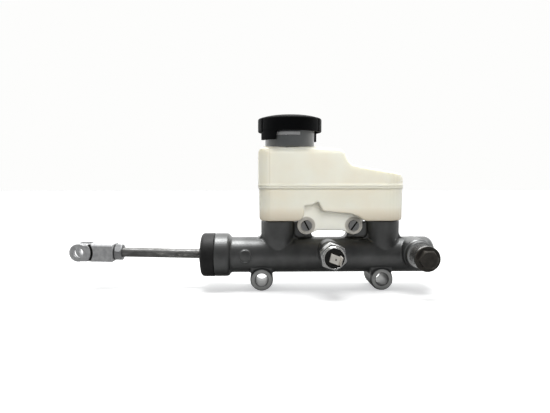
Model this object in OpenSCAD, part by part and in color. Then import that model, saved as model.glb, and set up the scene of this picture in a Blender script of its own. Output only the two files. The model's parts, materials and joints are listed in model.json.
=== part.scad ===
// Tandem brake master cylinder with a two-chamber plastic reservoir.
// Origin: centre of the pushrod-side mounting lug bore. +X runs along the bore
// towards the closed end, -Y is the side that the ports face, +Z is up.

/* [Cylinder casting] */
// diameter of the main bore
bore_d = 19.05; // [17:0.05:22.9]
// outside diameter of the barrel
barrel_d = 29.8; // [28.4:0.1:35.8]
// height of the bore axis above the lug axis
bore_z = 18.8; // [17:0.1:22.6]
// outside diameter of the mouth collar
collar_d = 36.2; // [33:0.1:43.5]
// X of the open mouth
mouth_x = -40.5; // [-42:0.5:-38]
// X of the flat closed end
end_x = 144.5; // [140:0.5:173.4]

/* [Mounting lugs] */
// distance between the two lug bores
lug_span = 99.5; // [83:0.5:119.5]
// diameter of the lug bores
lug_hole_d = 10.4; // [8.6:0.1:12.5]
// outside diameter of the lugs
lug_d = 18; // [16:0.5:21.6]
// length of the lugs along Y
lug_len = 28; // [23.4:0.2:33.6]

/* [Reservoir necks] */
// X of the pushrod-side neck
neck1_x = 13.5; // [11.5:0.5:16]
// X of the closed-end neck
neck2_x = 102.3; // [98:0.1:104]
// outside diameter of the necks
neck_d = 27.8; // [27:0.1:31]
// height of the neck tops above the bore axis
neck_h = 29.6; // [28.6:0.1:35.5]

/* [Ports] */
// X of the middle port
switch_x = 55.5; // [46:0.1:66.6]
// height of the middle port above the bore axis
switch_z = 4.3; // [3:0.1:5]
// X of the end port
banjo_x = 127.3; // [122:0.1:128]
// height of the end port above the bore axis
banjo_z = 3.1; // [2:0.1:4.4]
// thread diameter of both ports
port_d = 10; // [8.4:0.2:11]

/* [Pushrod and clevis] */
// shank diameter of the pushrod
rod_d = 7.8; // [6.6:0.1:9.2]
// upward tilt of the pushrod at rest, in degrees
rod_tilt = 1.4; // [0:0.1:2.5]
// distance from the ball centre to the clevis pin
rod_len = 130.3; // [112:0.1:156]
// clevis pin bore diameter
pin_d = 8.1; // [6.7:0.1:9.6]
// clevis width across both ears
clevis_w = 16; // [14:0.5:19.2]
// width of the clevis slot
slot_w = 8; // [6.6:0.1:9.6]

/* [Reservoir] */
// X of the pushrod-side end of the reservoir
res_x0 = -1.9; // [-3:0.1:-1]
// X of the closed-end end of the reservoir
res_x1 = 117.4; // [115:0.1:119]
// front-to-back depth of the lower half
res_w = 37; // [33:0.5:44.4]
// wall thickness
wall = 2.2; // [1.8:0.1:2.6]
// height of the weld seam above the floor of the reservoir
seam_h = 27.9; // [26:0.1:33.5]
// height of the top above the weld seam
top_h = 32.2; // [30:0.1:38.7]

/* [Filler cap] */
// X of the filler axis
fill_x = 23.5; // [22.5:0.1:24.5]
// outside diameter of the filler neck
fill_d = 40.6; // [36:0.2:43]
// outside diameter of the cap
cap_d = 52.7; // [50:0.1:63]
// height of the cap's rolled edge above its rim
cap_h = 10.8; // [8.6:0.1:13]

/* [Hidden] */
$fn = 64;
bore_r = bore_d / 2;
fit = 0.05;                       // radial running clearance of pistons and threads
barrel_r = barrel_d / 2;
counter_r = bore_r + 2.475;       // mouth counterbore
groove_r = counter_r + 1.2;
lip_r = collar_d / 2 - 1.3;       // turned-down seat of the boot's lip
boot_r = collar_d / 2 + 0.1;
lip_len = 1.4;
seat_x = mouth_x + 12;            // stop washer seat
neck_top = bore_z + neck_h;
neck_r = neck_d / 2;
pocket_r = 9.5;
pocket_z = bore_z + bore_r + 3.5; // floor of the neck pockets
grommet_r = 11.8;
ball_x = seat_x + 7.5;            // pushrod ball centre
ball_r = 5;
rod_r = rod_d / 2;
floor_z = neck_top + 0.6;         // underside of the reservoir
seam_z = floor_z + seam_h;
top_z = seam_z + top_h;
band = 1.6;                       // half height of the weld band
ear_x = [37.4, 76.8];             // retaining screws
ear_z = neck_top - 4.3;
ear_r = 7.6;
plate_y = [-6.5, -2];             // reservoir ear plate, front and back
lug_y = 7.2;                      // back of the cast ears
banjo_face = -25;                 // face of the end port boss
banjo_gap = 11.2;                 // room between the washers for a hose eye
switch_face = -28;                // face of the middle port boss
port_r = port_d / 2;
nut_len = 5.8;
pad_r = 10;                       // raised pads about the clevis pin
block_end = 27.8;                 // end of the clevis block past its pin
blade_x = [-2.9, 4.1];            // middles of the two switch blades
cup1_x = neck1_x - 0.5;           // primary cup seat
land2_x = neck2_x - 1.3;          // front land of the secondary piston
bore_end = end_x - 6.5;
rim_z = top_z + 12;               // cap rim
fill_top = top_z + 17.9;
fill_r = fill_d / 2;
cap_r = cap_d / 2;
upper_w = 41.2;

// ---- helpers ----

function arc(c, r, a0, a1, n = 8) =
  [for (i = [0 : n]) let (a = a0 + (a1 - a0) * i / n) c + r * [cos(a), sin(a)]];

// plan outline with left corner radius rl and right corner radius rr
function plan_outline(x0, x1, h, rl, rr) = concat(
  arc([x0 + rl, rl - h], rl, 180, 270), arc([x1 - rr, rr - h], rr, 270, 360),
  arc([x1 - rr, h - rr], rr, 0, 90), arc([x0 + rl, h - rl], rl, 90, 180));

// revolves an (r, x) outline about the bore axis
module about_bore(outline) {
  translate([0, 0, bore_z]) rotate([0, 90, 0]) rotate_extrude() polygon(outline);
}

// cylinder along the bore axis from x0 to x1
module rod_x(x0, x1, r) {
  translate([x0, 0, bore_z]) rotate([0, 90, 0]) cylinder(h = x1 - x0, r = r);
}

// cylinder along Y from the back y1 to the front y0
module rod_y(x, z, y0, y1, r) {
  translate([x, y1, z]) rotate([90, 0, 0]) cylinder(h = y1 - y0, r = r);
}

// vertical cylinder from z0 to z1
module rod_z(x, z0, z1, r) {
  translate([x, 0, z0]) cylinder(h = z1 - z0, r = r);
}

// extrudes an X-Z outline between y0 (front) and y1 (back)
module frontal(y0, y1) {
  translate([0, y1, 0]) rotate([90, 0, 0]) linear_extrude(y1 - y0) children();
}

// puts what is drawn along the bore axis on the tilted pushrod axis
module on_rod() {
  translate([ball_x, 0, bore_z]) rotate([0, rod_tilt, 0]) translate([-ball_x, 0, -bore_z]) children();
}

// hexagonal prism along Y with chamfered corners on its front
module hex_y(x, z, y0, y1, af, turn) {
  r = af / sqrt(3);
  translate([x, y1, z]) rotate([90, 0, 0]) intersection() {
    rotate([0, 0, turn]) cylinder(h = y1 - y0, r = r, $fn = 6);
    rotate_extrude() polygon([[0, 0], [r + 0.1, 0], [r + 0.1, y1 - y0 - 1.2],
      [af / 2 - 0.4, y1 - y0], [0, y1 - y0]]);
  }
}

// washer along Y
module washer_y(x, z, y0, y1, r0, r1) {
  difference() {
    rod_y(x, z, y0, y1, r1);
    rod_y(x, z, y0 - 1, y1 + 1, r0);
  }
}

// coil of round wire about the bore axis
module coil(x0, x1, mean_r, wire_r, turns) {
  steps = 14 * turns;
  sides = 6;
  span = x1 - x0 - 2 * wire_r;
  lead = span / turns / (2 * PI * mean_r);
  function at(i) = 360 * i / 14;
  points = [for (i = [0 : steps], j = [0 : sides - 1])
    let (a = at(i), b = 360 * j / sides, r = mean_r + wire_r * cos(b))
    [x0 + wire_r + span * i / steps + wire_r * sin(b),
     r * cos(a), bore_z + r * sin(a)]];
  faces = concat(
    [[for (j = [sides - 1 : -1 : 0]) j]],
    [for (i = [0 : steps - 1], j = [0 : sides - 1]) let (k = (j + 1) % sides)
      [i * sides + j, i * sides + k, (i + 1) * sides + k]],
    [for (i = [0 : steps - 1], j = [0 : sides - 1]) let (k = (j + 1) % sides)
      [i * sides + j, (i + 1) * sides + k, (i + 1) * sides + j]],
    [[for (j = [0 : sides - 1]) steps * sides + j]]);
  polyhedron(points, faces, convexity = 10);
}

// ---- casting ----

module barrel() {
  cr = collar_d / 2;
  about_bore(concat([[0, mouth_x], [lip_r, mouth_x], [lip_r, mouth_x + lip_len],
    [cr - 0.3, mouth_x + lip_len], [cr, mouth_x + lip_len + 0.3]],
    arc([cr - 3.2, mouth_x + 11.3], 3.2, 0, 70, 6),
    [[barrel_r, mouth_x + 15.5]],
    arc([barrel_r - 6, end_x - 6], 6, 0, 90, 8), [[0, end_x]]));
}

// lug tube with the web that carries it under the barrel, and small fillets at the top of the web
module lug(x) {
  r = lug_d / 2;
  w = r - 0.4;
  base = bore_z - barrel_r + 0.5;
  rod_y(x, 0, -lug_len / 2, lug_len / 2, r);
  rod_y(x, 0, -lug_len / 2 + 2.2, lug_len / 2 - 2.2, r + 0.5);
  frontal(-11.5, 11.5) polygon([[x - w, 0], [x - w, bore_z - 4], [x + w, bore_z - 4], [x + w, 0]]);
  frontal(-5.5, 5.5) polygon(concat(
    arc([x - w - 2.4, base - 2.4], 2.6, 90, 0, 6), arc([x + w + 2.4, base - 2.4], 2.6, 180, 90, 6),
    [[x + w + 2.4, base + 3], [x - w - 2.4, base + 3]]));
}

// neck with fillets down onto the barrel
module neck(x) {
  rod_z(x, bore_z, neck_top, neck_r);
  z = bore_z + barrel_r - 1.5;
  frontal(-5, 5) polygon(concat(
    arc([x - neck_r - 3.1, z + 4.7], 3.3, 270, 360, 6), arc([x + neck_r + 3.1, z + 4.7], 3.3, 180, 270, 6),
    [[x + neck_r + 3.1, z - 1], [x - neck_r - 3.1, z - 1]]));
}

// cast ear that takes a retaining screw; side is +1 or -1 towards the middle
module cast_ear(x, nx, side) {
  z0 = bore_z + barrel_r - 2;
  frontal(plate_y[1], lug_y) union() {
    translate([x, ear_z]) circle(r = ear_r - 0.2);
    polygon([[nx, z0], [x + side * 9, z0], [x + side * 9, z0 + 0.9], [x + side * 5.6, z0 + 2.6],
      [x + side * 4.5, z0 + 5], [x + side * 4.5, ear_z], [x, ear_z + 2.4], [nx, ear_z + 2.4]]);
  }
}

module casting_solid() {
  barrel();
  for (x = [0, lug_span]) lug(x);
  for (x = [neck1_x, neck2_x]) neck(x);
  cast_ear(ear_x[0], neck1_x, 1);
  cast_ear(ear_x[1], neck2_x, -1);
  rod_y(switch_x, bore_z + switch_z, switch_face, 0, 8.8);
  rod_y(switch_x, bore_z + switch_z, switch_face + 9, 0, 9.6);
  rod_y(banjo_x, bore_z + banjo_z, banjo_face, 0, 11.1);
  rod_y(banjo_x, bore_z + banjo_z, banjo_face + 5, 0, 12.3);
  // plain raised ring on the front of the barrel
  intersection() {
    difference() {
      rod_y(-13.4, bore_z + 0.8, -20, 0, 5.3);
      rod_y(-13.4, bore_z + 0.8, -21, 1, 4.6);
    }
    rod_x(-20, -6, barrel_r + 0.45);
  }
}

module port_bores(x) {
  rod_z(x, pocket_z, neck_top + 1, pocket_r);
  rod_z(x, neck_top - 7, neck_top + 1, grommet_r);
}

module cylinder_body() {
  color("#5a5d61") difference() {
    casting_solid();
    rod_x(mouth_x - 1, bore_end, bore_r);
    rod_x(mouth_x - 1, seat_x, counter_r);
    rod_x(seat_x - 3.65, seat_x - 1.95, groove_r);
    for (x = [0, lug_span]) rod_y(x, 0, -lug_len, lug_len, lug_hole_d / 2);
    for (x = [neck1_x, neck2_x]) port_bores(x);
    rod_z(neck1_x - 6, bore_z, pocket_z + 1, 1.6);
    rod_z(neck1_x + 6.1, bore_z, pocket_z + 1, 0.6);
    rod_z(neck2_x - 7.3, bore_z, pocket_z + 1, 1.6);
    rod_z(neck2_x + 7.3, bore_z, pocket_z + 1, 0.6);
    rod_z(neck2_x - 2.8, bore_z, pocket_z + 1, 1.4);
    for (i = [0, 1]) rod_y(ear_x[i], ear_z, plate_y[1] - 1, 5.2, 2.5);
    rod_y(switch_x, bore_z + switch_z, switch_face - 1, 0, port_r);
    rod_y(banjo_x, bore_z + banjo_z, banjo_face - 1, 0, port_r);
  }
}

// ---- parts in the mouth ----

module boot() {
  x = mouth_x;
  color("#2b2b2c") difference() {
    about_bore(concat(
      [[counter_r - 1.8, x + 6.5], [counter_r - 1.8, x], [boot_r - 2.2, x - 1.8],
       [boot_r - 2.2, x - 5.8], [boot_r - 4.8, x - 7.2], [8, x - 8.9], [2, x - 9.5], [2, x - 11.9],
       [7.5, x - 11.5], [boot_r - 6.1, x - 10.3]],
      arc([boot_r - 3, x - 7], 3, 285, 360, 6),
      [[boot_r, x + lip_len - 0.05], [lip_r + 0.03, x + lip_len - 0.05], [lip_r + 0.03, x],
       [counter_r - 0.05, x], [counter_r - 0.05, x + 6.5]]));
    on_rod() rod_x(x - 14, x - 4, rod_r + 0.45);
  }
}

module circlip() {
  color("#9a9c9e") difference() {
    rod_x(seat_x - 3.6, seat_x - 2, groove_r - 0.1);
    rod_x(seat_x - 5, seat_x - 1, groove_r - 2.9);
    translate([seat_x - 5, -2.2, bore_z - groove_r - 1]) cube([4, 4.4, groove_r]);
    for (s = [-1, 1]) translate([seat_x - 5, s * 3.8, bore_z - groove_r + 1.6]) rotate([0, 90, 0])
      cylinder(h = 4, r = 0.7);
  }
}

module stop_washer() {
  color("#a5a7a8") difference() {
    rod_x(seat_x - 2, seat_x, counter_r - fit);
    rod_x(seat_x - 3, seat_x + 1, 7);
  }
}

// ---- pistons ----

module primary_piston() {
  r = bore_r - fit;
  x = seat_x;
  c = cup1_x;
  color("#c9cbcc") difference() {
    about_bore([[0, x], [r - 0.6, x], [r, x + 0.6], [r, x + 8.5], [r - 1.9, x + 8.5], [r - 1.9, x + 11.5],
      [r, x + 11.5], [r, x + 14], [6.2, x + 15], [6.2, c - 3.5], [r, c - 3.5], [r, c], [5.2, c],
      [5.2, c + 6], [bore_r - 1, c + 6], [bore_r - 1, c + 7.5], [4, c + 7.5], [4, c + 10.5],
      [3.5, c + 11], [0, c + 11]]);
    translate([ball_x, 0, bore_z]) sphere(r = ball_r + fit);
    rod_x(x - 1, ball_x, ball_r + fit);
  }
}

// lipped cup ring: base at x, lip towards dir
module cup_ring(x, len, dir) {
  r = bore_r - fit;
  about_bore([[5.2, x], [r - 0.2, x], [r, x + dir * 0.8], [r, x + dir * len], [r - 1.2, x + dir * len],
    [r - 1.6, x + dir * len * 0.45], [6.6, x + dir * len * 0.45], [6.2, x + dir * len],
    [5.2, x + dir * len]]);
}

module primary_cup() {
  color("#1d1d1f") cup_ring(cup1_x, 5.8, 1);
}

module rear_seal() {
  color("#1d1d1f") about_bore([[bore_r - fit - 1.9, seat_x + 8.5], [bore_r - fit, seat_x + 8.5],
    [bore_r - fit, seat_x + 11.5], [bore_r - fit - 1.9, seat_x + 11.5]]);
}

module primary_spring() {
  color("#8f9296") coil(cup1_x + 7.6, land2_x - 22.1, 6.9, 0.9, 7);
}

module secondary_piston() {
  r = bore_r - fit;
  s = land2_x;
  color("#c9cbcc") about_bore([[0, s - 25], [3.5, s - 25], [4, s - 24.5], [4, s - 22], [r, s - 22],
    [r, s - 20.5], [5.2, s - 20.5], [5.2, s - 16.5], [r, s - 16.5], [r, s - 14.5], [6.2, s - 14],
    [6.2, s], [r, s], [r, s + 2], [5.2, s + 2], [5.2, s + 7.5], [bore_r - 1, s + 7.5],
    [bore_r - 1, s + 9], [4, s + 9], [4, s + 11.5], [3.5, s + 12], [0, s + 12]]);
}

module secondary_cups() {
  color("#1d1d1f") {
    cup_ring(land2_x - 16.5, 3.9, -1);
    cup_ring(land2_x + 2, 5.3, 1);
  }
}

module secondary_spring() {
  color("#8f9296") coil(land2_x + 9.1, bore_end - 0.1, 6.9, 0.9, 4);
}

module stop_pin() {
  color("#b5b7b8") rod_z(neck2_x - 2.8, bore_z + 6.6, pocket_z + 1.5, 1.4);
}

// ---- pushrod, lock nut and clevis ----

module pushrod() {
  pin_x = ball_x - rod_len;
  color("#4c4e51") on_rod() {
    translate([ball_x, 0, bore_z]) sphere(r = ball_r);
    about_bore([[0, pin_x + 12.5], [rod_r - 0.8, pin_x + 12.5], [rod_r, pin_x + 13.3],
      [rod_r, ball_x - 4], [rod_r - 0.4, ball_x - 1], [0, ball_x - 1]]);
  }
}

module lock_nut() {
  x0 = ball_x - rod_len + block_end + 0.9;
  r = 13 / sqrt(3);
  color("#a6a8aa") on_rod() difference() {
    translate([x0, 0, bore_z]) rotate([0, 90, 0]) intersection() {
      rotate([0, 0, 18]) cylinder(h = nut_len, r = r, $fn = 6);
      rotate_extrude() polygon([[0, 0], [6.3, 0], [r + 0.1, 1.1], [r + 0.1, nut_len - 1.1],
        [6.3, nut_len], [0, nut_len]]);
    }
    rod_x(x0 - 1, x0 + nut_len + 1, rod_r + fit);
  }
}

module clevis() {
  px = ball_x - rod_len;
  h = 14.8;
  hw = clevis_w / 2;
  color("#aeb0b1") on_rod() difference() {
    union() {
      rod_y(px, bore_z, -hw, hw, h / 2);
      intersection() {
        translate([px, -hw, bore_z - h / 2]) cube([block_end, clevis_w, h]);
        rod_x(px - 12, px + 30, hw + 1.9);
      }
    }
    translate([px - 12, -slot_w / 2, bore_z - h]) cube([21, slot_w, 2 * h]);
    rod_y(px + 9, bore_z, -slot_w / 2, slot_w / 2, 0.01 + h / 2 - 7);
    rod_y(px, bore_z, -hw - 1, hw + 1, pin_d / 2);
    // curved grooves behind the ear pads
    for (s = [-1, 1]) intersection() {
      difference() {
        rod_y(px, bore_z, s * hw - 2.1, s * hw + 2.1, pad_r + 1.9);
        rod_y(px, bore_z, s * hw - 3, s * hw + 3, pad_r);
      }
      translate([px + 4, s * hw - 4, bore_z - h]) cube([12, 8, 2 * h]);
    }
    rod_x(px + 8, px + 30, rod_r + fit);
  }
}

// ---- reservoir ----

function lower_outline(x0, x1, z0, z1, t) = concat(
  [[x0, z1], [x0 + 0.2, z0 + 1.8], [x0 + 0.8, z0 + 0.6], [x0 + 2, z0], [28 - t, z0]],
  arc([28 - t, z0 + 6.4], 6.4, 270, 360, 5),
  [[34.4 - t, z0 + 12.2], [40.5 - t, z0 + 13], [45.7 - t * 0.3, z0 + 15.7], [49.8 + t * 0.4, z0 + 8],
   [73 + t * 0.2, z0 + 5.8], [78 + t * 0.3, z0 + 3.8], [82.5 + t * 0.4, z0 + 0.9], [85 + t * 0.4, z0],
   [x1 - 2, z0], [x1 - 0.8, z0 + 0.6], [x1 - 0.2, z0 + 1.8], [x1, z1]]);

module ear_plate() {
  w = floor_z - 9.1;
  ex = 0.46 * ear_r;
  ez = 0.88 * ear_r;
  difference() {
    frontal(plate_y[0], plate_y[1]) union() {
      for (x = ear_x) translate([x, ear_z]) circle(r = ear_r);
      polygon([[46.3, w], [67, w], [ear_x[1] - ex, ear_z - ez], [ear_x[1], ear_z],
        [ear_x[1] + 6, ear_z + 2.2], [ear_x[1] + 9.5, floor_z + 0.6], [ear_x[1] + 8, floor_z + 6],
        [ear_x[1] - 10, floor_z + 8], [51, floor_z + 10],
        [46, floor_z + 17], [33, floor_z + 14], [33, floor_z + 3], [ear_x[0], ear_z],
        [ear_x[0] + ex, ear_z - ez]]);
    }
    for (x = ear_x) rod_y(x, ear_z, plate_y[0] - 1, plate_y[1] + 1, 2.75);
  }
}

module reservoir_lower() {
  h = res_w / 2;
  color("#e0dccd") difference() {
    union() {
      intersection() {
        frontal(-h - 1, h + 1) polygon(lower_outline(res_x0, res_x1, floor_z, seam_z, 0));
        translate([0, 0, floor_z - 1]) linear_extrude(seam_h + 2)
          polygon(plan_outline(res_x0 - 0.03, res_x1 + 0.03, h, 11, 16));
      }
      ear_plate();
      for (x = [neck1_x, neck2_x]) rod_z(x, neck_top - 6, floor_z + 1, 7.4);
      translate([0, 0, seam_z - band]) linear_extrude(band)
        polygon(plan_outline(res_x0 - 1, res_x1 + 0.3, upper_w / 2 + 0.5, 9.5, 17.2));
    }
    intersection() {
      frontal(-h, h)
        polygon(lower_outline(res_x0 + wall, res_x1 - wall, floor_z + wall, seam_z + 1, wall));
      translate([0, 0, floor_z - 1]) linear_extrude(seam_h + 3)
        polygon(plan_outline(res_x0 + wall - 0.03, res_x1 - wall + 0.03, h - wall, 9, 14));
    }
    for (x = [neck1_x, neck2_x]) rod_z(x, neck_top - 8, floor_z + 4, 5.2);
  }
}

function upper_outline(x0, x1, z0, z1) = concat(
  [[x0, z0], [x0, z1 - 8]], arc([x0 + 6.2, z1 - 6.2], 6.2, 175, 90, 6),
  [[43, z1 - 0.2], [58, z1 - 2]], arc([60, z1 - 9], 7.2, 80, 10, 6),
  [[69, z1 - 11.4], [71.3, z1 - 14], [74, z1 - 15.2], [x1 - 10, z1 - 21.2], [x1 - 4, z1 - 22.7],
   [x1 - 0.8, z1 - 25.6], [x1, z1 - 28.6], [x1, z0]]);

module reservoir_upper() {
  h = upper_w / 2;
  x0 = res_x0 - 0.8;
  x1 = res_x1;
  color("#e6e1d2") difference() {
    union() {
      intersection() {
        frontal(-h - 1, h + 1) polygon(upper_outline(x0, x1, seam_z, top_z));
        translate([0, 0, seam_z - 1]) linear_extrude(top_h + 2)
          polygon(plan_outline(x0 - 0.03, x1 + 0.03, h, 9, 17));
        translate([x0 - 1, 0, 0]) rotate([90, 0, 90]) linear_extrude(x1 - x0 + 2)
          polygon(concat([[-h - 0.05, seam_z - 2]], arc([6 - h, top_z - 6], 6.05, 180, 90, 6),
            arc([h - 6, top_z - 6], 6.05, 90, 0, 6), [[h + 0.05, seam_z - 2]]));
      }
      translate([0, 0, seam_z]) linear_extrude(band)
        polygon(plan_outline(x0 - 0.2, x1 + 0.3, h + 0.5, 9.5, 17.2));
    }
    intersection() {
      frontal(-h, h) polygon(upper_outline(x0 + wall, x1 - wall, seam_z - 3, top_z - wall));
      translate([0, 0, seam_z - 2]) linear_extrude(top_h + 3)
        polygon(plan_outline(x0 + wall - 0.03, x1 - wall + 0.03, h - wall, 7, 15));
    }
    rod_z(fill_x, top_z - 5, top_z + 1, fill_r - 4.3);
  }
}

// band of thread about the filler axis between angles a0 and a1
module thread_band(a0, a1, z0, z1) {
  translate([fill_x, 0, z0]) rotate([0, 0, a0]) rotate_extrude(angle = a1 - a0)
    translate([fill_r - 0.4, 0]) square([1.6, z1 - z0]);
}

module filler_neck() {
  color("#6b6d6f") difference() {
    union() {
      rod_z(fill_x, top_z, fill_top, fill_r);
      for (a = [231, 51]) thread_band(a, a + 59, top_z + 8.9, top_z + 11.3);
      translate([fill_x - 4.5, -fill_r - 0.6, top_z + 7.9]) cube([1.2, 2, 1.1]);
    }
    rod_z(fill_x, top_z - 1, fill_top + 1, fill_r - 4.3);
  }
}

module cap_seal() {
  z = fill_top;
  r = fill_r - 0.2;
  color("#2a2a2b") translate([fill_x, 0, 0]) rotate_extrude() polygon([[0, z - 8], [11, z - 8],
    [12, z - 7], [12.6, z], [r, z], [r, z + 1.8], [11.4, z + 1.8], [11, z - 6.6], [0, z - 6.6]]);
}

module cap() {
  z0 = rim_z;
  z1 = rim_z + cap_h;
  inner = fill_top + 1.8;
  r = cap_r;
  color("#141517") difference() {
    union() {
      translate([fill_x, 0, 0]) rotate_extrude() polygon(concat(
        [[0, inner], [fill_r + 3.2, inner], [fill_r + 3.2, z0], [r - 0.5, z0], [r, z0 + 0.6]],
        arc([r - 1.6, z1 - 1.2], 1.6, 0, 70, 5),
        [for (i = [1 : 7]) let (q = (r - 1.6) * (1 - i / 7)) [q, z1 + 2.9 - 2.6 * pow(q / (r - 1.6), 4)]]));
      for (a = [205, 25]) translate([fill_x, 0, z0 - 6.9]) rotate([0, 0, a]) rotate_extrude(angle = 37)
        translate([r - 2.6, 0]) square([2.5, 8]);
    }
    for (a = [-30, 30, 150, 210]) translate([fill_x, 0, 0]) rotate([0, 0, a])
      translate([r + 0.35, 0, z0 - 1]) cylinder(h = cap_h + 6, r = 1.1);
  }
}

module grommets() {
  color("#1b1b1c") for (x = [neck1_x, neck2_x]) translate([x, 0, 0]) rotate_extrude()
    polygon([[7.4, neck_top - 7], [grommet_r, neck_top - 7], [grommet_r, neck_top], [12.9, neck_top],
      [12.9, floor_z], [7.4, floor_z]]);
}

module retaining_screws() {
  turns = [-62, 54.5];
  color("#8b8d8f") for (i = [0, 1]) difference() {
    union() {
      rod_y(ear_x[i], ear_z, plate_y[0] - 2.6, plate_y[0], 4.25);
      rod_y(ear_x[i], ear_z, plate_y[0], 4.6, 2.45);
    }
    translate([ear_x[i], plate_y[0] - 2.6, ear_z]) rotate([0, -turns[i], 0])
      translate([-6, -1, -0.65]) cube([12, 2.2, 1.3]);
  }
}

// ---- end port ----

module banjo_bolt() {
  z = bore_z + banjo_z;
  y1 = banjo_face - 1.5 - banjo_gap - 1.3;
  color("#3b3834") difference() {
    union() {
      rod_y(banjo_x, z, y1, banjo_face + 10, port_r - fit);
      rod_y(banjo_x, z, y1 - 2.1, y1, 9.9);
      hex_y(banjo_x, z, y1 - 6.2, y1 - 2.1, 13, 0);
    }
    rod_y(banjo_x, z, banjo_face - 9, banjo_face + 12, 1.7);
    translate([banjo_x, banjo_face - 7, z - 8]) cylinder(h = 16, r = 1.4);
  }
}

module banjo_washers() {
  z = bore_z + banjo_z;
  y1 = banjo_face - 1.5 - banjo_gap;
  color("#b9b6b0") {
    washer_y(banjo_x, z, banjo_face - 1.5, banjo_face, port_r + 0.1, 9.6);
    washer_y(banjo_x, z, y1 - 1.3, y1, port_r + 0.1, 9.7);
  }
}

// ---- brake light switch ----

module switch_body() {
  z = bore_z + switch_z;
  y = switch_face - 1.5;
  color("#c6c7c6") difference() {
    union() {
      rod_y(switch_x, z, y, switch_face + 13, port_r - fit);
      hex_y(switch_x, z, y - 9, y, 19, 100);
      rod_y(switch_x, z, y - 13.2, y, 8.5);
    }
    rod_y(switch_x, z, y - 15, y - 10, 7.6);
  }
}

module switch_washer() {
  color("#b9b6b0") washer_y(switch_x, bore_z + switch_z, switch_face - 1.5, switch_face, port_r + 0.1, 8.7);
}

module switch_insulator() {
  z = bore_z + switch_z;
  y = switch_face - 11.5;
  color("#19191a") difference() {
    union() {
      rod_y(switch_x, z, y - 1.6, y, 7.6);
      washer_y(switch_x, z, y - 2.4, y - 1.6, 6, 6.7);
    }
    at_blades(y - 6) for (x = blade_x) translate([x - 0.4, -3.2, 0]) cube([0.8, 6.4, 7]);
  }
}

// frame of the blades: local X across the pair, local Y along their width, local Z back along +Y
module at_blades(y) {
  translate([switch_x, y, bore_z + switch_z]) rotate([0, 13.7, 0]) rotate([-90, 0, 0]) children();
}

module switch_blades() {
  y = switch_face - 11.5;
  bend = 48;
  bent_len = 7.4;
  along = [sin(bend), -cos(bend)];
  across = [cos(bend), sin(bend)];
  near = blade_x[0];
  knee = [near + 0.4, -4.6];
  hole = knee + 4.2 * along - 0.4 * across;
  color("#dbd7cf") {
    at_blades(y) difference() {
      translate([blade_x[1] - 0.4, -3.2, -12]) cube([0.8, 6.4, 12]);
      translate([0, 0, -8.8]) rotate([0, 90, 0]) cylinder(h = 8, r = 0.85);
    }
    // the second blade is bent over towards the first
    at_blades(y) difference() {
      translate([0, 3.2, 0]) rotate([90, 0, 0]) linear_extrude(6.4)
        polygon([[near - 0.4, 0], [near + 0.4, 0], knee, knee + bent_len * along,
          knee + bent_len * along - 0.8 * across, [near - 0.4, knee[1] - 0.8 * tan(bend / 2)]]);
      translate([hole[0], 0, hole[1]]) rotate([0, 90 - bend, 0]) cylinder(h = 4, r = 0.85, center = true);
    }
  }
}

cylinder_body();
boot();
circlip();
stop_washer();
primary_piston();
primary_cup();
rear_seal();
primary_spring();
secondary_piston();
secondary_cups();
secondary_spring();
stop_pin();
pushrod();
lock_nut();
clevis();
reservoir_lower();
reservoir_upper();
filler_neck();
cap_seal();
cap();
grommets();
retaining_screws();
banjo_bolt();
banjo_washers();
switch_body();
switch_washer();
switch_insulator();
switch_blades();
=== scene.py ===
"""Visual model of a tandem brake master cylinder, built around its fixed CAD frame."""

import json
import logging
import math
from dataclasses import dataclass
from enum import Enum

import bmesh
import bpy
import numpy as np
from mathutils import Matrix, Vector
from mathutils.bvhtree import BVHTree


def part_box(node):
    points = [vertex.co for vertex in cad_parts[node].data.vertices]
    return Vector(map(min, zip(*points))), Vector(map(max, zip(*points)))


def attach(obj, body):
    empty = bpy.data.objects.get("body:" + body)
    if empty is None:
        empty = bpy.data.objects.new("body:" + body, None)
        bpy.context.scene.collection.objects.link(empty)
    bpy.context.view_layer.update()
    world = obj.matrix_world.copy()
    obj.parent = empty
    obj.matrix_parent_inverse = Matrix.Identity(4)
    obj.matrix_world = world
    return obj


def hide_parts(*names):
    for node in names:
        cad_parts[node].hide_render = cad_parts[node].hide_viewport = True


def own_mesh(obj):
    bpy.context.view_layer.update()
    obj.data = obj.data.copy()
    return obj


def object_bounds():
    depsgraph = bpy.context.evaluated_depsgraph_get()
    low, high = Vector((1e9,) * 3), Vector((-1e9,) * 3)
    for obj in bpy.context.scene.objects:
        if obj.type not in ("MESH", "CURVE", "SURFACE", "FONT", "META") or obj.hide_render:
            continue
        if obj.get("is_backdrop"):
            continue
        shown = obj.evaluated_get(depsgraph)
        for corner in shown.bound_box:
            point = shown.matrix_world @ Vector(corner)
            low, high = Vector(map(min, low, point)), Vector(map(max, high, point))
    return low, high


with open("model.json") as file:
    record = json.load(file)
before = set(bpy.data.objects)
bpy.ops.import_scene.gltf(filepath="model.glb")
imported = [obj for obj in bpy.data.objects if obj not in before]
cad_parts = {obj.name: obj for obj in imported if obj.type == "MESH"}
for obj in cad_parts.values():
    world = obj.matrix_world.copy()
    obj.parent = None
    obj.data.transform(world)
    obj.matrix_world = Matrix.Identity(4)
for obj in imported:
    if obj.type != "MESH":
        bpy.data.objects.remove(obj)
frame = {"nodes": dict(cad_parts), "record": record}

log = logging.getLogger("cylinder")

MM = 0.001
BORE_Z = 18.8 * MM
Socket = bpy.types.NodeSocket
Piece = bpy.types.Object


class Body(Enum):
    """The moving bodies that pieces ride on."""

    HOUSING = "housing"
    PRIMARY = "primary_piston_group"
    SECONDARY = "secondary_piston_group"
    ROD = "pushrod_body"
    NUT = "lock_nut_body"
    CLEVIS = "clevis_body"
    SEAL = "cap_seal_body"
    CAP = "cap_body"


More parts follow.
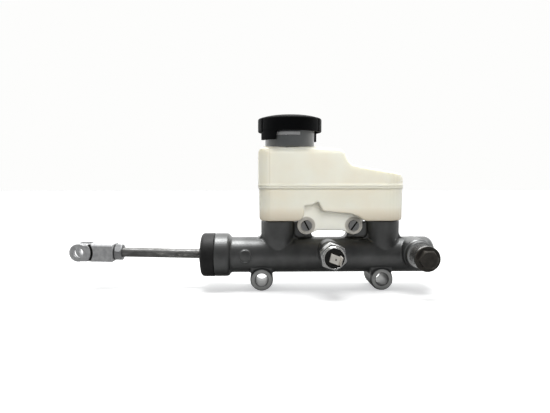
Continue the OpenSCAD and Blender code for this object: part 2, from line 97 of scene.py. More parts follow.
def linear(code: str) -> tuple[float, float, float, float]:
    """Turns an sRGB hex colour into linear values.

    Args:
        code: the colour as #rrggbb.

    Returns:
        Linear red, green, blue and an alpha of 1.
    """
    parts = [int(code[i : i + 2], 16) / 255 for i in (1, 3, 5)]
    red, green, blue = (
        p / 12.92 if p <= 0.04045 else ((p + 0.055) / 1.055) ** 2.4 for p in parts
    )
    return red, green, blue, 1.0


def put(
    tree: bpy.types.NodeTree,
    kind: str,
    links: dict[str | int, Socket] | None = None,
    values: dict[str | int, object] | None = None,
    **settings: object,
) -> bpy.types.Node:
    """Adds one shader node with its settings, values and links.

    Args:
        tree: the node tree to add to.
        kind: the node's type without its ShaderNode prefix.
        links: what each input is fed from.
        values: what each unlinked input is set to.
        **settings: the node's own options.

    Returns:
        The new node.
    """
    node = tree.nodes.new("ShaderNode" + kind)
    for name, value in settings.items():
        setattr(node, name, value)
    for key, value in (values or {}).items():
        node.inputs[key].default_value = value
    for key, socket in (links or {}).items():
        tree.links.new(socket, node.inputs[key])
    return node


def tinted(tree: bpy.types.NodeTree, share: Socket, under: Socket, code: str) -> Socket:
    """Lays a colour over another.

    Args:
        tree: the node tree.
        share: how much of the new colour shows, from 0 to 1.
        under: the colour below.
        code: the new colour as #rrggbb.

    Returns:
        The colour of the two together.
    """
    return put(
        tree, "Mix", {"Factor": share, 6: under}, {7: linear(code)}, data_type="RGBA"
    ).outputs[2]


def overlay(tree: bpy.types.NodeTree, shader: bpy.types.Node, share: Socket, code: str) -> None:
    """Lays a colour over the shader's base colour.

    Args:
        tree: the node tree.
        shader: the main shader.
        share: how much of the new colour shows, from 0 to 1.
        code: the new colour as #rrggbb.
    """
    base = shader.inputs["Base Color"]
    tree.links.new(tinted(tree, share, base.links[0].from_socket, code), base)


def mount_place(name: str) -> tuple[float, float, float]:
    """Returns the place of one of the record's mounts, in metres."""
    for mount in frame["record"]["mounts"]:
        if mount["name"] == name:
            return tuple(mount["pos_m"])
    raise KeyError(name)


# ---- finishes ----


@dataclass(frozen=True)
class Finish:
    """A surface with mottled colour, worn edges, a spread of roughness and a fine grain.

    Fields in millimetres are the real sizes that the patterns follow.
    """

    name: str
    base: str
    tint: str
    worn: str
    roughness: tuple[float, float]
    metallic: float = 0.0
    grain_mm: float = 0.8
    depth_mm: float = 0.02
    mottle_mm: float = 12.0
    stretch: tuple[float, float, float] = (1.0, 1.0, 1.0)
    edge: float = 0.5
    round_mm: float = 0.0
    specular: float = 0.5
    # The next two set the colour and reach of the painted shade laid into slots, corners and recesses.
    cavity_shade: str = "#161616"
    cavity_shade_mm: float = 0.0

    def material(self) -> bpy.types.Material:
        """Returns the finish as a material, made once and then shared."""
        made = bpy.data.materials.get(self.name)
        if made:
            return made
        made = bpy.data.materials.new(self.name)
        made.use_nodes = True
        tree = made.node_tree
        tree.nodes.clear()
        where = put(tree, "TexCoord").outputs["Object"]
        grained = put(tree, "Mapping", {"Vector": where}, {"Scale": self.stretch}).outputs[0]
        mottle = put(
            tree, "TexNoise", {"Vector": grained}, {"Scale": 1 / (self.mottle_mm * MM), "Detail": 4.0}
        ).outputs["Fac"]
        grain = put(
            tree, "TexNoise", {"Vector": grained}, {"Scale": 1 / (self.grain_mm * MM), "Detail": 3.0}
        ).outputs["Fac"]
        patchy = put(
            tree, "MapRange", {"Value": mottle}, {"From Min": 0.35, "From Max": 0.65}
        ).outputs[0]
        colour = put(
            tree,
            "Mix",
            {"Factor": patchy},
            {6: linear(self.base), 7: linear(self.tint)},
            data_type="RGBA",
        ).outputs[2]
        colour = self._paint_cavity_shade(tree, self._wear(tree, colour, mottle))
        rough = put(
            tree,
            "MapRange",
            {"Value": self._blend(tree, mottle, grain)},
            {"From Min": 0.3, "From Max": 0.7, "To Min": self.roughness[0], "To Max": self.roughness[1]},
        ).outputs[0]
        normal = self._normal(tree, grain)
        shader = put(
            tree,
            "BsdfPrincipled",
            {"Base Color": colour, "Roughness": rough, "Normal": normal},
            {"Metallic": self.metallic, "Specular IOR Level": self.specular},
        )
        self.dress(tree, shader, where, mottle, grain)
        put(tree, "OutputMaterial", {"Surface": self.surface(tree, shader, normal)})
        return made

    def _blend(self, tree: bpy.types.NodeTree, one: Socket, two: Socket) -> Socket:
        """Returns the mean of two values."""
        return put(
            tree, "Mix", {2: one, 3: two}, {"Factor": 0.5}, data_type="FLOAT"
        ).outputs[0]

    def _wear(self, tree: bpy.types.NodeTree, colour: Socket, mottle: Socket) -> Socket:
        """Adds rubbed, lighter edges.

        Args:
            tree: the node tree.
            colour: the colour so far.
            mottle: the patches that break the wear up.

        Returns:
            The colour with its worn edges.
        """
        if self.edge <= 0:
            return colour
        sharp = put(tree, "NewGeometry").outputs["Pointiness"]
        worn = put(
            tree,
            "MapRange",
            {"Value": sharp},
            {"From Min": 0.52, "From Max": 0.60, "To Max": self.edge},
        ).outputs[0]
        broken = put(
            tree, "MapRange", {"Value": mottle}, {"From Min": 0.35, "From Max": 0.6}
        ).outputs[0]
        share = put(tree, "Math", {0: worn, 1: broken}, operation="MULTIPLY").outputs[0]
        return tinted(tree, share, colour, self.worn)

    def _paint_cavity_shade(self, tree: bpy.types.NodeTree, colour: Socket) -> Socket:
        """Darkens slots and corners with painted shade, as far out as the set distance.

        Args:
            tree: the node tree.
            colour: the colour so far.

        Returns:
            The colour with its dark corners.
        """
        if not self.cavity_shade_mm:
            return colour
        # Painted shade: ambient occlusion darkens the colour in hollows and corners.
        shut = put(
            tree, "AmbientOcclusion", values={"Distance": self.cavity_shade_mm * MM}, samples=8
        ).outputs["AO"]
        share = put(
            tree,
            "MapRange",
            {"Value": shut},
            {"From Min": 0.75, "From Max": 0.3, "To Max": 0.9},
        ).outputs[0]
        return tinted(tree, share, colour, self.cavity_shade)

    def _normal(self, tree: bpy.types.NodeTree, grain: Socket) -> Socket:
        """Returns the surface normal with the grain, on softened edges where round_mm asks."""
        links = {"Height": grain}
        if self.round_mm:
            links["Normal"] = put(
                tree, "Bevel", values={"Radius": self.round_mm * MM}, samples=4
            ).outputs[0]
        return put(
            tree, "Bump", links, {"Strength": 1.0, "Distance": self.depth_mm * MM}
        ).outputs[0]

    def dress(
        self,
        tree: bpy.types.NodeTree,
        shader: bpy.types.Node,
        where: Socket,
        mottle: Socket,
        grain: Socket,
    ) -> None:
        """Lets a finish add what is its own.

        Args:
            tree: the node tree.
            shader: the main shader.
            where: the place on the object, in metres.
            mottle: the coarse pattern.
            grain: the fine pattern.
        """

    def surface(self, tree: bpy.types.NodeTree, shader: bpy.types.Node, normal: Socket) -> Socket:
        """Returns the shader that reaches the surface."""
        return shader.outputs[0]


@dataclass(frozen=True)
class CastFinish(Finish):
    """Blasted cast aluminium with the milled faces of its lugs and ports left brighter."""

    milled: str = "#c4c5c4"
    lug_face_mm: float = 14.0
    lug_top_mm: float = 9.6
    port_faces_mm: tuple[float, float] = (25.0, 28.0)
    slack_mm: float = 0.3

    def dress(
        self,
        tree: bpy.types.NodeTree,
        shader: bpy.types.Node,
        where: Socket,
        mottle: Socket,
        grain: Socket,
    ) -> None:
        """Brightens the milled faces, which are the flats at set depths along Y.

        Args:
            tree: the node tree.
            shader: the main shader.
            where: the place on the object, in metres.
            mottle: the coarse pattern.
            grain: the fine pattern.
        """
        split = put(tree, "SeparateXYZ", {"Vector": where}).outputs
        facing = put(tree, "NewGeometry").outputs["Normal"]
        flat = put(tree, "SeparateXYZ", {"Vector": facing}).outputs["Y"]
        flat = put(tree, "Math", {0: flat}, operation="ABSOLUTE").outputs[0]
        flat = put(
            tree, "MapRange", {"Value": flat}, {"From Min": 0.8, "From Max": 0.97}
        ).outputs[0]
        away = put(tree, "Math", {0: split["Y"]}, operation="ABSOLUTE").outputs[0]
        lugs = put(
            tree,
            "Math",
            {0: away},
            {1: self.lug_face_mm * MM, 2: self.slack_mm * MM},
            operation="COMPARE",
        ).outputs[0]
        low = put(
            tree, "Math", {0: split["Z"]}, {1: self.lug_top_mm * MM}, operation="LESS_THAN"
        ).outputs[0]
        total = put(tree, "Math", {0: lugs, 1: low}, operation="MULTIPLY").outputs[0]
        for depth in self.port_faces_mm:
            near = put(
                tree,
                "Math",
                {0: split["Y"]},
                {1: -depth * MM, 2: self.slack_mm * MM},
                operation="COMPARE",
            ).outputs[0]
            total = put(tree, "Math", {0: total, 1: near}, operation="MAXIMUM").outputs[0]
        share = put(tree, "Math", {0: total, 1: flat}, operation="MULTIPLY").outputs[0]
        overlay(tree, shader, share, self.milled)


@dataclass(frozen=True)
class MilkyFinish(Finish):
    """Natural polypropylene: light enters the wall, scatters and comes out inside."""

    scatter_mm: tuple[float, float, float] = (2.6, 2.6, 2.5)
    bead_z_mm: float = 76.9
    bead_half_mm: float = 1.7
    bead: str = "#fff4dd"
    # Painted light: the ear plate is coloured lighter than the tank, standing for light coming through
    # it from behind.
    backlit_panel: str = "#fffaec"
    panel_z_mm: float = 64.0
    # Colour of the painted shade about the screws, where dark metal lugs sit behind the plate.
    ring: str = "#b9b6ae"
    ring_r_mm: float = 7.75
    screws_mm: tuple[tuple[float, float], ...] = ((37.4, 44.1), (76.8, 44.1))
    ring_fade_mm: float = 1.0
    # The next three place and colour the painted shade along the upright crease where the rounded corner
    # meets the front.
    line_x_mm: float = 6.6
    line_half_mm: float = 0.45
    line: str = "#eee6d3"
    floor_z_mm: float = 49.0
    fade_z_mm: float = 60.0
    wall_y_mm: float = 9.0
    shade: str = "#bdb4a0"

    def dress(
        self,
        tree: bpy.types.NodeTree,
        shader: bpy.types.Node,
        where: Socket,
        mottle: Socket,
        grain: Socket,
    ) -> None:
        """Tints the weld bead, paints shade on the underside, paints light on the ear plate and shade in
        rings about its screws, and paints a shaded upright crease.

        Sets the scattering inside the plastic too.

        Args:
            tree: the node tree.
            shader: the main shader.
            where: the place on the object, in metres.
            mottle: the coarse pattern.
            grain: the fine pattern.
        """
        height = put(tree, "SeparateXYZ", {"Vector": where}).outputs["Z"]
        on_bead = put(
            tree,
            "Math",
            {0: height},
            {1: self.bead_z_mm * MM, 2: self.bead_half_mm * MM},
            operation="COMPARE",
        ).outputs[0]
        before = shader.inputs["Base Color"].links[0].from_socket
        mixed = tinted(tree, on_bead, before, self.bead)
        low = put(
            tree,
            "MapRange",
            {"Value": height},
            {"From Min": self.fade_z_mm * MM, "From Max": self.floor_z_mm * MM, "To Max": 0.75},
        ).outputs[0]
        depth = put(tree, "SeparateXYZ", {"Vector": where}).outputs["Y"]
        depth = put(tree, "Math", {0: depth}, operation="ABSOLUTE").outputs[0]
        outer = put(
            tree, "Math", {0: depth}, {1: self.wall_y_mm * MM}, operation="GREATER_THAN"
        ).outputs[0]
        share = put(tree, "Math", {0: low, 1: outer}, operation="MULTIPLY").outputs[0]
        mixed = tinted(tree, share, mixed, self.shade)
        inner = put(
            tree, "Math", {0: depth}, {1: self.wall_y_mm * MM}, operation="LESS_THAN"
        ).outputs[0]
        below = put(
            tree, "Math", {0: height}, {1: self.panel_z_mm * MM}, operation="LESS_THAN"
        ).outputs[0]
        along = put(tree, "SeparateXYZ", {"Vector": where}).outputs["X"]
        share = put(tree, "Math", {0: inner, 1: below}, operation="MULTIPLY").outputs[0]
        # Painted light on the ear plate.
        mixed = tinted(tree, share, mixed, self.backlit_panel)
        mixed = self._paint_ear_ring_shade(tree, mixed, where, share)
        mixed = self._paint_crease_shade(tree, mixed, along, height, outer)
        tree.links.new(mixed, shader.inputs["Base Color"])
        shader.inputs["Subsurface Weight"].default_value = 1.0
        shader.inputs["Subsurface Radius"].default_value = [
            r / self.scatter_mm[0] for r in self.scatter_mm
        ]
        shader.inputs["Subsurface Scale"].default_value = self.scatter_mm[0] * MM

    def _paint_ear_ring_shade(
        self, tree: bpy.types.NodeTree, colour: Socket, where: Socket, plate: Socket
    ) -> Socket:
        """Paints shade as grey rings about the two screws, where the dark metal lugs behind the plastic
        let less light through.

        Args:
            tree: the node tree.
            colour: the colour so far.
            where: the place on the object, in metres.
            plate: 1 on the ear plate.

        Returns:
            The colour with its rings.
        """
        for x, z in self.screws_mm:
            off = put(
                tree, "VectorMath", {0: where}, {1: (x * MM, 0, z * MM)}, operation="SUBTRACT"
            ).outputs[0]
            flat = put(tree, "VectorMath", {0: off}, {1: (1, 0, 1)}, operation="MULTIPLY").outputs[0]
            out = put(tree, "VectorMath", {0: flat}, operation="LENGTH").outputs["Value"]
            near = put(
                tree,
                "MapRange",
                {"Value": out},
                {"From Min": self.ring_r_mm * MM, "From Max": (self.ring_r_mm - self.ring_fade_mm) * MM},
            ).outputs[0]
            share = put(tree, "Math", {0: near, 1: plate}, operation="MULTIPLY").outputs[0]
            colour = tinted(tree, share, colour, self.ring)
        return colour

    def _paint_crease_shade(
        self,
        tree: bpy.types.NodeTree,
        colour: Socket,
        along: Socket,
        height: Socket,
        outer: Socket,
    ) -> Socket:
        """Paints a faint darker upright line above the weld: painted shade where the tank's rounded
        corner turns into its front.

        Args:
            tree: the node tree.
            colour: the colour so far.
            along: X in metres.
            height: Z in metres.
            outer: 1 on the front and back walls.

        Returns:
            The colour with the line.
        """
        on_line = put(
            tree,
            "Math",
            {0: along},
            {1: self.line_x_mm * MM, 2: self.line_half_mm * MM},
            operation="COMPARE",
        ).outputs[0]
        over = put(
            tree,
            "Math",
            {0: height},
            {1: (self.bead_z_mm + self.bead_half_mm) * MM},
            operation="GREATER_THAN",
        ).outputs[0]
        share = put(tree, "Math", {0: on_line, 1: over}, operation="MULTIPLY").outputs[0]
        share = put(tree, "Math", {0: share, 1: outer}, operation="MULTIPLY").outputs[0]
        return tinted(tree, share, colour, self.line)


@dataclass(frozen=True)
class NeckFinish(Finish):
    """Moulded grey plastic with a painted highlight on its thread crests."""

    # Colour of the painted highlight on the thread crests.
    crest_highlight: str = "#f2f3f4"
    crest_z_mm: float = 119.2
    crest_half_mm: float = 1.5
    crest_r_mm: float = 20.9
    axis_x_mm: float = 23.5

    def dress(
        self,
        tree: bpy.types.NodeTree,
        shader: bpy.types.Node,
        where: Socket,
        mottle: Socket,
        grain: Socket,
    ) -> None:
        """Paints a highlight on what stands proud of the neck at the thread's height.

        Args:
            tree: the node tree.
            shader: the main shader.
            where: the place on the object, in metres.
            mottle: the coarse pattern.
            grain: the fine pattern.
        """
        split = put(tree, "SeparateXYZ", {"Vector": where}).outputs
        level = put(
            tree,
            "Math",
            {0: split["Z"]},
            {1: self.crest_z_mm * MM, 2: self.crest_half_mm * MM},
            operation="COMPARE",
        ).outputs[0]
        off = put(
            tree, "VectorMath", {0: where}, {1: (self.axis_x_mm * MM, 0, 0)}, operation="SUBTRACT"
        ).outputs[0]
        flat = put(tree, "VectorMath", {0: off}, {1: (1, 1, 0)}, operation="MULTIPLY").outputs[0]
        out = put(tree, "VectorMath", {0: flat}, operation="LENGTH").outputs["Value"]
        proud = put(
            tree, "Math", {0: out}, {1: self.crest_r_mm * MM}, operation="GREATER_THAN"
        ).outputs[0]
        share = put(tree, "Math", {0: level, 1: proud}, operation="MULTIPLY").outputs[0]
        overlay(tree, shader, share, self.crest_highlight)


@dataclass(frozen=True)
class ScratchedFinish(Finish):
    """Steel with dark scale and bright scratches along part of its length."""

    bare: str = "#d6d4cf"
    scratch_mm: float = 1.5
    scratched_from_mm: float = -96.0
    fade_mm: float = 12.0

    def dress(
        self,
        tree: bpy.types.NodeTree,
        shader: bpy.types.Node,
        where: Socket,
        mottle: Socket,
        grain: Socket,
    ) -> None:
        """Adds scratches that run along X.

        Args:
            tree: the node tree.
            shader: the main shader.
            where: the place on the object, in metres.
            mottle: the coarse pattern.
            grain: the fine pattern.
        """
        drawn = put(
            tree, "Mapping", {"Vector": where}, {"Scale": (0.3, 1.0, 1.0)}
        ).outputs[0]
        streaks = put(
            tree,
            "TexNoise",
            {"Vector": drawn},
            {"Scale": 1 / (self.scratch_mm * MM), "Detail": 5.0, "Roughness": 0.65},
        ).outputs["Fac"]
        cut = put(
            tree, "MapRange", {"Value": streaks}, {"From Min": 0.54, "From Max": 0.66, "To Max": 0.8}
        ).outputs[0]
        along = put(tree, "SeparateXYZ", {"Vector": where}).outputs["X"]
        zone = put(
            tree,
            "MapRange",
            {"Value": along},
            {
                "From Min": self.scratched_from_mm * MM,
                "From Max": (self.scratched_from_mm + self.fade_mm) * MM,
            },
        ).outputs[0]
        share = put(tree, "Math", {0: cut, 1: zone}, operation="MULTIPLY").outputs[0]
        overlay(tree, shader, share, self.bare)


@dataclass(frozen=True)
class ForkFinish(Finish):
    """Plated steel with painted shade in the curved grooves behind its pads."""

    # Colour of the painted shade in the grooves about the pin.
    painted_shade: str = "#1e1e1d"
    groove_mm: tuple[float, float] = (9.8, 12.1)
    pad_y_mm: float = 7.7
    half_height_mm: float = 6.6

    def dress(
        self,
        tree: bpy.types.NodeTree,
        shader: bpy.types.Node,
        where: Socket,
        mottle: Socket,
        grain: Socket,
    ) -> None:
        """Darkens what lies below the pads in a ring about the pin, as painted shade in the grooves.

        Args:
            tree: the node tree.
            shader: the main shader.
            where: the place on the object, in metres.
            mottle: the coarse pattern.
            grain: the fine pattern.
        """
        pin = mount_place("clevis_pin_bore")
        off = put(tree, "VectorMath", {0: where}, {1: pin}, operation="SUBTRACT").outputs[0]
        split = put(tree, "SeparateXYZ", {"Vector": off}).outputs
        flat = put(tree, "VectorMath", {0: off}, {1: (1, 0, 1)}, operation="MULTIPLY").outputs[0]
        out = put(tree, "VectorMath", {0: flat}, operation="LENGTH").outputs["Value"]
        inner, outer = (r * MM for r in self.groove_mm)
        total = put(
            tree,
            "Math",
            {0: out},
            {1: (inner + outer) / 2, 2: (outer - inner) / 2},
            operation="COMPARE",
        ).outputs[0]
        for axis, limit in (("Y", self.pad_y_mm), ("Z", self.half_height_mm)):
            size = put(tree, "Math", {0: split[axis]}, operation="ABSOLUTE").outputs[0]
            under = put(tree, "Math", {0: size}, {1: limit * MM}, operation="LESS_THAN").outputs[0]
            total = put(tree, "Math", {0: total, 1: under}, operation="MULTIPLY").outputs[0]
        overlay(tree, shader, total, self.painted_shade)


@dataclass(frozen=True)
class SlottedFinish(Finish):
    """Plated screw heads with painted shade in their slots and on their undersides."""

    # Colour of the painted shade in the slots and behind the heads' fronts.
    painted_shade: str = "#1a1a19"
    head_y_mm: float = -8.95

    def dress(
        self,
        tree: bpy.types.NodeTree,
        shader: bpy.types.Node,
        where: Socket,
        mottle: Socket,
        grain: Socket,
    ) -> None:
        """Darkens all that lies behind the front of the heads, as painted shade.

        Args:
            tree: the node tree.
            shader: the main shader.
            where: the place on the object, in metres.
            mottle: the coarse pattern.
            grain: the fine pattern.
        """
        depth = put(tree, "SeparateXYZ", {"Vector": where}).outputs["Y"]
        behind = put(
            tree, "Math", {0: depth}, {1: self.head_y_mm * MM}, operation="GREATER_THAN"
        ).outputs[0]
        overlay(tree, shader, behind, self.painted_shade)


# Blasted cast aluminium: even satin grey, dark where nothing bright is mirrored, with painted shade
# darkening its hollows and corners.
CASTING = CastFinish(
    "satin cast aluminium", "#7b7c7c", "#6c6d6d", "#c4c5c5", (0.36, 0.48), 0.9,
    grain_mm=0.9, depth_mm=0.03, mottle_mm=16, edge=0.35, cavity_shade_mm=3.0, cavity_shade="#2c2c2c",
)
# Natural polypropylene: ivory, milky, slightly glossy from a polished mould.
TANK = MilkyFinish(
    "natural polypropylene", "#fbf4e3", "#f8eedb", "#fdf9f0", (0.30, 0.42),
    grain_mm=2.5, depth_mm=0.02, mottle_mm=22, edge=0.3,
)
# Black acetal: deep black with a soft gloss on its edges.
CAP = Finish(
    "black moulded acetal", "#141516", "#17181a", "#262627", (0.5, 0.6),
    grain_mm=0.6, depth_mm=0.003, mottle_mm=9, edge=0.4, specular=0.06,
)
# Grey polyamide: matt mid grey, with a painted highlight on its thread crests.
NECK = NeckFinish(
    "grey polyamide", "#8f9294", "#85898b", "#a9abad", (0.38, 0.5),
    grain_mm=0.7, depth_mm=0.012, mottle_mm=8, edge=0.3, round_mm=0.35,
)
# Moulded EPDM rubber: charcoal, nearly matt, with a dry bloom.
RUBBER = Finish(
    "moulded rubber", "#191919", "#222222", "#454544", (0.5, 0.66),
    grain_mm=0.5, depth_mm=0.02, mottle_mm=7, edge=0.4,
)
# Rolled steel rod: dark scale with bare scratches.
ROD = ScratchedFinish(
    "scaled steel rod", "#989897", "#5c5c5b", "#bdbbb7", (0.32, 0.5), 0.5,
    grain_mm=0.8, depth_mm=0.03, mottle_mm=5, stretch=(0.4, 1, 1), edge=0.3, round_mm=0.3,
)
# Zinc-plated steel: light neutral grey, slightly cloudy, with painted shade in its recesses.
ZINC = Finish(
    "clear zinc plate", "#a8a9aa", "#929395", "#d4d4d4", (0.32, 0.5), 0.85,
    grain_mm=0.5, depth_mm=0.02, mottle_mm=3.5, edge=0.5, round_mm=0.2, cavity_shade_mm=1.6,
)
# The same zinc on the sawn and drilled fork: paler, with painted shade in its grooves and recesses.
FORK = ForkFinish(
    "zinc plated fork", "#e4e5e6", "#c9cacc", "#f2f2f2", (0.36, 0.54), 0.25,
    grain_mm=0.5, depth_mm=0.02, mottle_mm=3.5, edge=0.5, round_mm=0.2, cavity_shade_mm=1.6,
)
# Bright zinc on the turned switch shell and washers: mirrors what is around it, with painted shade in
# its recesses.
BRIGHT = Finish(
    "bright zinc plate", "#d9d9d8", "#c6c7c7", "#f4f4f4", (0.16, 0.28), 0.94,
    grain_mm=0.6, depth_mm=0.005, mottle_mm=4, edge=0.5, round_mm=0.15, cavity_shade_mm=1.2,
)
# Phosphated steel: brown-black and matt, grey where a spanner rubs, with painted shade in its recesses.
DARK_BOLT = Finish(
    "phosphated steel", "#504d48", "#423f3b", "#a09a90", (0.36, 0.5), 0.6,
    grain_mm=0.5, depth_mm=0.012, mottle_mm=4, edge=0.8, round_mm=0.2, cavity_shade_mm=1.2,
)
# Worn zinc on the screw heads: mid grey with dull spots, with painted shade in the slots and behind the
# heads.
SCREW = SlottedFinish(
    "dull zinc plate", "#a9aaaa", "#969798", "#c8c8c8", (0.40, 0.55), 0.7,
    grain_mm=0.4, depth_mm=0.012, mottle_mm=2.5, edge=0.5, round_mm=0.1, cavity_shade_mm=0.9,
)
# Tinned brass: pale and soft, as switch tabs are.
BLADE = Finish(
    "tinned brass", "#f0ece4", "#e2dcd1", "#f8f5ef", (0.34, 0.5), 0.15,
    grain_mm=0.4, depth_mm=0.006, mottle_mm=2, edge=0.4, round_mm=0.1,
)
# Phenolic moulding: black with a low sheen.
PHENOLIC = Finish(
    "black phenolic", "#101010", "#181818", "#333333", (0.4, 0.55),
    grain_mm=0.4, depth_mm=0.01, mottle_mm=3, edge=0.3, round_mm=0.2,
)
# Hard anodised aluminium: olive grey pistons.
PISTON = Finish(
    "hard anodised aluminium", "#6d6e66", "#5e5f58", "#a5a69d", (0.3, 0.44), 0.8,
    grain_mm=0.5, depth_mm=0.006, mottle_mm=6, stretch=(4, 1, 1), edge=0.4, round_mm=0.2,
)
# Drawn spring wire: blue-grey, fine draw marks.
SPRING = Finish(
    "drawn spring wire", "#70747a", "#5e6268", "#a9adb2", (0.28, 0.42), 0.95,
    grain_mm=0.4, depth_mm=0.008, mottle_mm=3, edge=0.3,
)


# ---- mesh work ----


def corners(mesh: bpy.types.Mesh) -> np.ndarray:
    """Returns a mesh's vertices as rows of x, y, z in metres."""
    flat = np.empty(len(mesh.vertices) * 3)
    mesh.vertices.foreach_get("co", flat)
    return flat.reshape(-1, 3)


def relax(mesh: bpy.types.Mesh, passes: int) -> np.ndarray:
    """Averages each vertex with its neighbours, which rounds edges and fillets corners.

    Args:
        mesh: an evenly divided mesh.
        passes: how many rounds; more rounds give a larger radius.

    Returns:
        The new vertices, not yet written to the mesh.
    """
    points = corners(mesh)
    ends = np.empty(len(mesh.edges) * 2, np.int32)
    mesh.edges.foreach_get("vertices", ends)
    one, two = ends.reshape(-1, 2).T
    count = len(points)
    degree = np.maximum(np.bincount(one, minlength=count) + np.bincount(two, minlength=count), 1)
    for _ in range(passes):
        mean = np.stack(
            [
                np.bincount(one, points[two, axis], count)
                + np.bincount(two, points[one, axis], count)
                for axis in range(3)
            ],
            axis=1,
        )
        points = points + (mean / degree[:, None] - points) * 0.5
    return points


@dataclass(frozen=True)
class Rounding:
    """How a CAD solid is given moulded or broken edges.

    voxel_mm is the size of the new mesh's faces, passes sets the radius, and points nearer
    to the CAD surface than near_mm go back onto it, with none held beyond far_mm. The edge
    at seam_z_mm, where two halves meet, stays square.
    """

    voxel_mm: float
    passes: int
    near_mm: float = 0.06
    far_mm: float = 0.16
    seam_z_mm: float | None = None

    def make(self, node: str, name: str) -> Piece:
        """Builds the rounded piece from a CAD node.

        Args:
            node: the CAD node.
            name: the new piece's name.

        Returns:
            The new object, linked to the scene.
        """
        mesh = frame["nodes"][node].data.copy()
        mesh.name = name
        work = bmesh.new()
        work.from_mesh(mesh)
        bmesh.ops.remove_doubles(work, verts=work.verts, dist=1e-6)
        work.to_mesh(mesh)
        tree = BVHTree.FromBMesh(work)
        work.free()
        mesh.materials.clear()
        rough = bpy.data.objects.new(name, mesh)
        bpy.context.scene.collection.objects.link(rough)
        cut = rough.modifiers.new("even faces", "REMESH")
        cut.mode = "VOXEL"
        cut.voxel_size = self.voxel_mm * MM
        cut.use_smooth_shade = True
        seen = rough.evaluated_get(bpy.context.evaluated_depsgraph_get())
        even = bpy.data.meshes.new_from_object(seen)
        rough.modifiers.clear()
        rough.data = even
        even.name = name
        points = relax(even, self.passes)
        sharp = np.zeros(len(points), bool)
        if self.seam_z_mm is not None:
            before = corners(even)
            sharp = np.abs(before[:, 2] - self.seam_z_mm * MM) < self.voxel_mm * MM
            points[sharp] = before[sharp]
        for i, point in enumerate(points):
            spot, _, _, gap = tree.find_nearest(point)
            if sharp[i]:
                points[i] = spot
            elif gap < self.far_mm * MM:
                hold = min(1.0, (self.far_mm * MM - gap) / ((self.far_mm - self.near_mm) * MM))
                points[i] = point + (np.array(spot) - point) * hold
        even.vertices.foreach_set("co", points.ravel())
        even.update()
        return rough


def settle(piece: Piece, body: Body, slot: str, finish: Finish, *replaced: str) -> Piece:
    """Finishes a new piece and ties it to its body.

    Args:
        piece: the new object.
        body: what it moves with.
        slot: the record's material slot; not used.
        finish: its finish.
        *replaced: the CAD nodes that it stands for.

    Returns:
        The same piece.
    """
    piece.data.materials.clear()
    piece.data.materials.append(finish.material())
    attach(piece, body.value)
    if replaced:
        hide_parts(*replaced)
    log.info("%s: %d faces", piece.name, len(piece.data.polygons))
    return piece


def dress(node: str, finish: Finish) -> None:
    """Gives a CAD node that keeps its shape its finish.

    Args:
        node: the CAD node.
        finish: the finish for every one of its material slots.
    """
    piece = frame["nodes"][node]
    if not piece.data.materials:
        piece.data.materials.append(None)
    for slot in piece.material_slots:
        slot.link = "OBJECT"
        slot.material = finish.material()
    log.info("%s: CAD shape, %s", node, finish.name)


# ---- sub-assemblies ----

TANK_PIECES = ("tank_lower", "tank_upper")


@dataclass
class Casting:
    """The cast body with its lugs, necks, ears and port bosses."""

    edges: Rounding = Rounding(0.55, 5)
    barrel_r_mm: float = 14.9
    ring_x_mm: float = -13.4
    ring_z_mm: float = 0.8
    ring_r_mm: float = 4.95
    ring_proud_mm: float = 0.75
    ring_tube_mm: float = 0.55
    ring_steps: int = 72
    ring_sides: int = 10

    def build(self) -> None:
        """Builds the casting with its cast edges and fillets, and its raised ring."""
        piece = self.edges.make("cylinder_body", "body_casting")
        settle(piece, Body.HOUSING, "casting", CASTING, "cylinder_body")
        settle(self._ring(), Body.HOUSING, "casting", CASTING)

    def _ring(self) -> Piece:
        """Returns the plain raised ring that lies on the round front of the barrel."""
        steps, sides = self.ring_steps, self.ring_sides
        work = bmesh.new()
        rings = []
        for i in range(steps):
            turn = 2 * math.pi * i / steps
            ring = []
            for k in range(sides):
                round_ = 2 * math.pi * k / sides
                out = self.ring_r_mm + self.ring_tube_mm * math.cos(round_)
                along = self.ring_x_mm + out * math.cos(turn)
                up = self.ring_z_mm + out * math.sin(turn)
                face = math.sqrt(self.barrel_r_mm**2 - up**2)
                depth = face + self.ring_proud_mm * math.sin(round_)
                ring.append(work.verts.new((along * MM, -depth * MM, BORE_Z + up * MM)))
            rings.append(ring)
        for i in range(steps):
            one, two = rings[i], rings[(i + 1) % steps]
            for k in range(sides):
                nxt = (k + 1) % sides
                work.faces.new((one[k], two[k], two[nxt], one[nxt]))
        bmesh.ops.recalc_face_normals(work, faces=work.faces)
        mesh = bpy.data.meshes.new("foundry_ring")
        work.to_mesh(mesh)
        work.free()
        mesh.shade_smooth()
        piece = bpy.data.objects.new("foundry_ring", mesh)
        bpy.context.scene.collection.objects.link(piece)
        return piece


@dataclass
class Reservoir:
    """The welded two-chamber tank, its filler neck, grommets and screws."""

    edges: Rounding = Rounding(0.6, 4, seam_z_mm=76.9)

    def build(self) -> None:
        """Builds both halves and dresses the fittings."""
        for node, name in (("reservoir_lower", "tank_lower"), ("reservoir_upper", "tank_upper")):
            piece = self.edges.make(node, name)
            settle(piece, Body.HOUSING, "reservoir_plastic", TANK, node)
        dress("filler_neck", NECK)
        dress("grommets", RUBBER)
        dress("retaining_screws", SCREW)


@dataclass
class FillerCap:
    """The screw cap with its hanging tabs and the seal under it."""

    edges: Rounding = Rounding(0.42, 3)

    def build(self) -> None:
        """Builds the cap and dresses the seal."""
        piece = self.edges.make("cap", "screw_cap")
        settle(piece, Body.CAP, "cap_plastic", CAP, "cap")
        dress("cap_seal", RUBBER)


